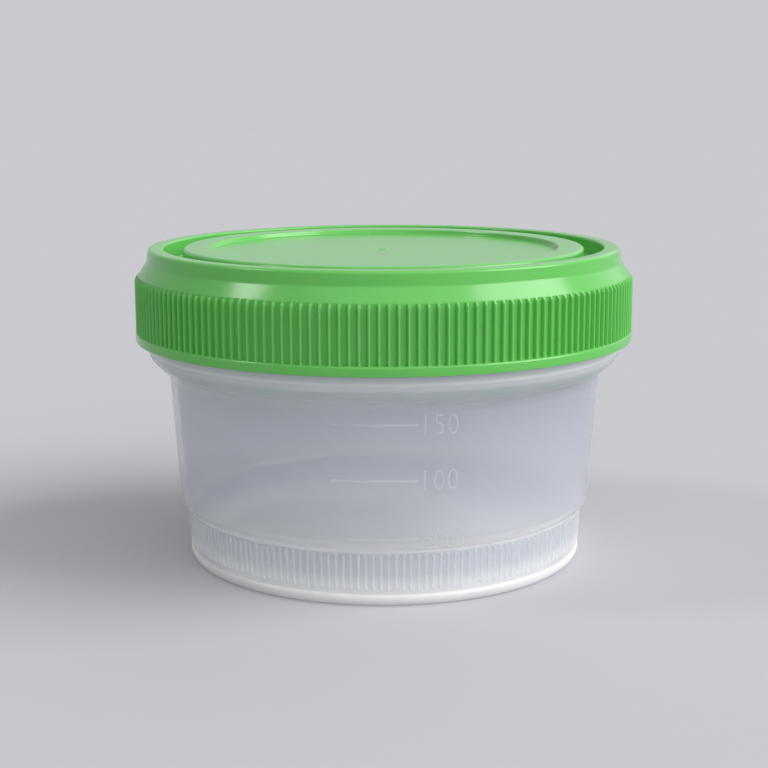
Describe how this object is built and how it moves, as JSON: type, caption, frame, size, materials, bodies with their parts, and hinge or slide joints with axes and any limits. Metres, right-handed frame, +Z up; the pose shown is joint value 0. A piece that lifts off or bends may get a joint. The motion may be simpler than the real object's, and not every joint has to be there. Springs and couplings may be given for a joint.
{
  "type": "specimen container",
  "caption": "Wide, low round specimen container with a ribbed base band, a flared neck and a ribbed screw cap with a raised stacking ring.",
  "frame": {"origin": "on the axis, at the level of the foot that the container stands on", "axes": "+Z up along the axis of both mouldings; -Y towards the side that carries the graduations"},
  "size_m": [0.0956, 0.0956, 0.0604],
  "materials": {
    "container_plastic": "natural translucent polypropylene, moulded, soft gloss",
    "cap_plastic": "green polypropylene, moulded, glossy"
  },
  "bodies": {
    "container": {"container": "container_plastic"},
    "cap": {"cap": "cap_plastic"}
  },
  "joints": [
    {"name": "cap_lift", "type": "slide", "parent": "container", "child": "cap", "axis": [0, 0, 1], "range_m": [0, 0.06]}
  ]
}
